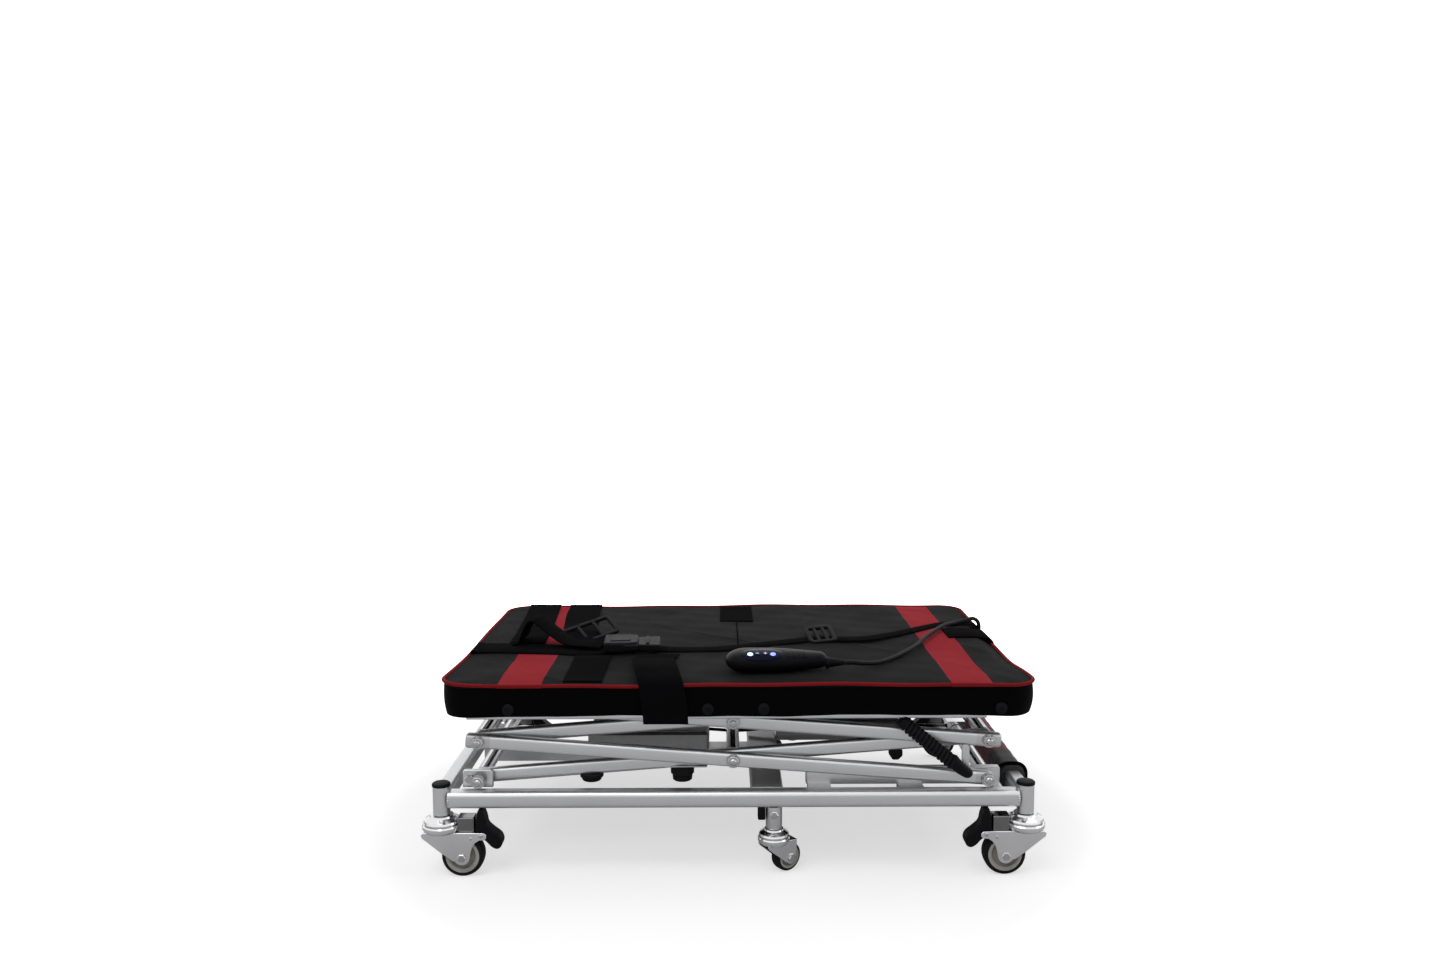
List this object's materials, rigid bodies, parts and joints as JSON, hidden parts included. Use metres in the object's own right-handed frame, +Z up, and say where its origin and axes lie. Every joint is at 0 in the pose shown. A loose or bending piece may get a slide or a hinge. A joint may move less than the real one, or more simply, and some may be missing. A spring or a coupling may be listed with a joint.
{
  "type": "powered scissor floor lift",
  "caption": "Low wheeled scissor floor lift with a padded seat platform, safety belt, hand control and braked castors.",
  "frame": {"origin": "on the floor under the middle of the base", "axes": "+X along the seat to the sliding end, +Y to the far side, +Z up"},
  "size_m": [0.734, 0.464, 0.261],
  "materials": {
    "aluminium": "brushed",
    "chrome": "polished",
    "zinc": "zinc plated",
    "tyre": "matt",
    "black_plastic": "fine grain",
    "control_plastic": "satin",
    "cover_fabric": "woven nylon with red bands and piping",
    "grip_fabric": "padded",
    "webbing": "ribbed weave",
    "lead_rubber": "satin",
    "board": "mill finish"
  },
  "bodies": {
    "base": {"base_rail_near": "aluminium", "base_rail_far": "aluminium", "base_end_left": "aluminium", "base_end_right": "aluminium", "base_beam": "aluminium", "battery_box": "black_plastic", "slide_track_near": "aluminium", "slide_track_far": "aluminium", "grip_sleeve": "grip_fabric", "actuator": "black_plastic"},
    "lower_inner": {"arm_lower_inner_near": "aluminium", "arm_lower_inner_far": "aluminium", "shaft_base_left": "zinc", "shaft_lower_centre": "zinc"},
    "lower_outer": {"arm_lower_outer_near": "aluminium", "arm_lower_outer_far": "aluminium", "shaft_middle_left": "zinc"},
    "carriage": {"shaft_base_slide": "zinc", "actuator_rod": "chrome"},
    "upper_outer": {"arm_upper_outer_near": "aluminium", "arm_upper_outer_far": "aluminium", "shaft_middle_right": "zinc", "shaft_upper_centre": "zinc", "lead_clip": "black_plastic"},
    "upper_inner": {"arm_upper_inner_near": "aluminium", "arm_upper_inner_far": "aluminium", "shaft_top_slide": "zinc"},
    "platform": {"platform_rail_near": "aluminium", "platform_rail_far": "aluminium", "seat_board": "board", "seat_cushion": "cover_fabric", "cover_skirt_near": "cover_fabric", "cover_skirt_far": "cover_fabric", "cover_skirt_left": "cover_fabric", "cover_skirt_right": "cover_fabric", "seat_belt": "webbing", "edge_strap": "webbing", "belt_buckle": "black_plastic", "handset": "control_plastic", "handset_cord": "lead_rubber", "shaft_top_left": "zinc", "coil_lead": "lead_rubber"},
    "key_down": {"key_down": "control_plastic"},
    "key_up": {"key_up": "control_plastic"},
    "castor_near_left": {"castor_fork_near_left": "chrome"},
    "wheel_near_left": {"castor_wheel_near_left": "tyre"},
    "pedal_near_left": {"brake_pedal_near_left": "black_plastic"},
    "castor_near_right": {"castor_fork_near_right": "chrome"},
    "wheel_near_right": {"castor_wheel_near_right": "tyre"},
    "pedal_near_right": {"brake_pedal_near_right": "black_plastic"},
    "castor_far_left": {"castor_fork_far_left": "chrome"},
    "wheel_far_left": {"castor_wheel_far_left": "tyre"},
    "pedal_far_left": {"brake_pedal_far_left": "black_plastic"},
    "castor_far_right": {"castor_fork_far_right": "chrome"},
    "wheel_far_right": {"castor_wheel_far_right": "tyre"},
    "pedal_far_right": {"brake_pedal_far_right": "black_plastic"},
    "middle_castor_near": {"middle_fork_near": "chrome"},
    "middle_wheel_near": {"middle_wheel_near": "tyre"},
    "middle_castor_far": {"middle_fork_far": "chrome"},
    "middle_wheel_far": {"middle_wheel_far": "tyre"}
  },
  "joints": [
    {"name": "lift", "type": "hinge", "parent": "base", "child": "lower_inner", "pos_m": [-0.302, 0, 0.1094], "axis": [0, -1, 0], "range_deg": [0, 20]},
    {"name": "lower_cross", "type": "hinge", "parent": "lower_inner", "child": "lower_outer", "pos_m": [0, 0, 0.1328], "axis": [0, -1, 0], "range_deg": [-40, 0]},
    {"name": "drive_pin", "type": "hinge", "parent": "lower_outer", "child": "carriage", "pos_m": [0.302, 0, 0.1094], "axis": [0, -1, 0], "range_deg": [0, 20]},
    {"name": "middle_pin", "type": "hinge", "parent": "lower_inner", "child": "upper_outer", "pos_m": [0.302, 0, 0.1562], "axis": [0, -1, 0], "range_deg": [-40, 0]},
    {"name": "upper_cross", "type": "hinge", "parent": "upper_outer", "child": "upper_inner", "pos_m": [0, 0, 0.1796], "axis": [0, -1, 0], "range_deg": [0, 40]},
    {"name": "platform_pin", "type": "hinge", "parent": "upper_outer", "child": "platform", "pos_m": [-0.302, 0, 0.203], "axis": [0, -1, 0], "range_deg": [0, 20], "deforming": ["coil_lead"]},
    {"name": "swivel_near_left", "type": "hinge", "parent": "base", "child": "castor_near_left", "pos_m": [-0.344, -0.209, 0.064], "axis": [0, 0, 1], "continuous": true},
    {"name": "roll_near_left", "type": "hinge", "parent": "castor_near_left", "child": "wheel_near_left", "pos_m": [-0.319, -0.209, 0.025], "axis": [0, 1, 0], "continuous": true},
    {"name": "brake_near_left", "type": "hinge", "parent": "castor_near_left", "child": "pedal_near_left", "pos_m": [-0.296, -0.209, 0.052], "axis": [0, 1, 0], "range_deg": [0, 14]},
    {"name": "swivel_near_right", "type": "hinge", "parent": "base", "child": "castor_near_right", "pos_m": [0.344, -0.209, 0.064], "axis": [0, 0, 1], "continuous": true},
    {"name": "roll_near_right", "type": "hinge", "parent": "castor_near_right", "child": "wheel_near_right", "pos_m": [0.319, -0.209, 0.025], "axis": [0, 1, 0], "continuous": true},
    {"name": "brake_near_right", "type": "hinge", "parent": "castor_near_right", "child": "pedal_near_right", "pos_m": [0.296, -0.209, 0.052], "axis": [0, -1, 0], "range_deg": [0, 14]},
    {"name": "swivel_far_left", "type": "hinge", "parent": "base", "child": "castor_far_left", "pos_m": [-0.344, 0.209, 0.064], "axis": [0, 0, 1], "continuous": true},
    {"name": "roll_far_left", "type": "hinge", "parent": "castor_far_left", "child": "wheel_far_left", "pos_m": [-0.319, 0.209, 0.025], "axis": [0, 1, 0], "continuous": true},
    {"name": "brake_far_left", "type": "hinge", "parent": "castor_far_left", "child": "pedal_far_left", "pos_m": [-0.296, 0.209, 0.052], "axis": [0, 1, 0], "range_deg": [0, 14]},
    {"name": "swivel_far_right", "type": "hinge", "parent": "base", "child": "castor_far_right", "pos_m": [0.344, 0.209, 0.064], "axis": [0, 0, 1], "continuous": true},
    {"name": "roll_far_right", "type": "hinge", "parent": "castor_far_right", "child": "wheel_far_right", "pos_m": [0.319, 0.209, 0.025], "axis": [0, 1, 0], "continuous": true},
    {"name": "brake_far_right", "type": "hinge", "parent": "castor_far_right", "child": "pedal_far_right", "pos_m": [0.296, 0.209, 0.052], "axis": [0, -1, 0], "range_deg": [0, 14]},
    {"name": "middle_swivel_near", "type": "hinge", "parent": "base", "child": "middle_castor_near", "pos_m": [0.0476, -0.209, 0.045], "axis": [0, 0, 1], "continuous": true},
    {"name": "middle_roll_near", "type": "hinge", "parent": "middle_castor_near", "child": "middle_wheel_near", "pos_m": [0.06234, -0.19868, 0.0175], "axis": [-0.5736, 0.8192, 0], "continuous": true},
    {"name": "middle_swivel_far", "type": "hinge", "parent": "base", "child": "middle_castor_far", "pos_m": [0.0476, 0.209, 0.045], "axis": [0, 0, 1], "continuous": true},
    {"name": "middle_roll_far", "type": "hinge", "parent": "middle_castor_far", "child": "middle_wheel_far", "pos_m": [0.06234, 0.19868, 0.0175], "axis": [0.5736, 0.8192, 0], "continuous": true},
    {"name": "key_down", "type": "slide", "parent": "platform", "child": "key_down", "axis": [0, 0, -1], "range_m": [0, 0.001], "stiffness_N_per_m": 400},
    {"name": "key_up", "type": "slide", "parent": "platform", "child": "key_up", "axis": [0, 0, -1], "range_m": [0, 0.001], "stiffness_N_per_m": 400}
  ],
  "couplings": [
    {"joint": "lower_cross", "follows": "lift", "ratio": -2},
    {"joint": "drive_pin", "follows": "lift", "ratio": 1},
    {"joint": "middle_pin", "follows": "lift", "ratio": -2},
    {"joint": "upper_cross", "follows": "lift", "ratio": 2},
    {"joint": "platform_pin", "follows": "lift", "ratio": 1}
  ]
}
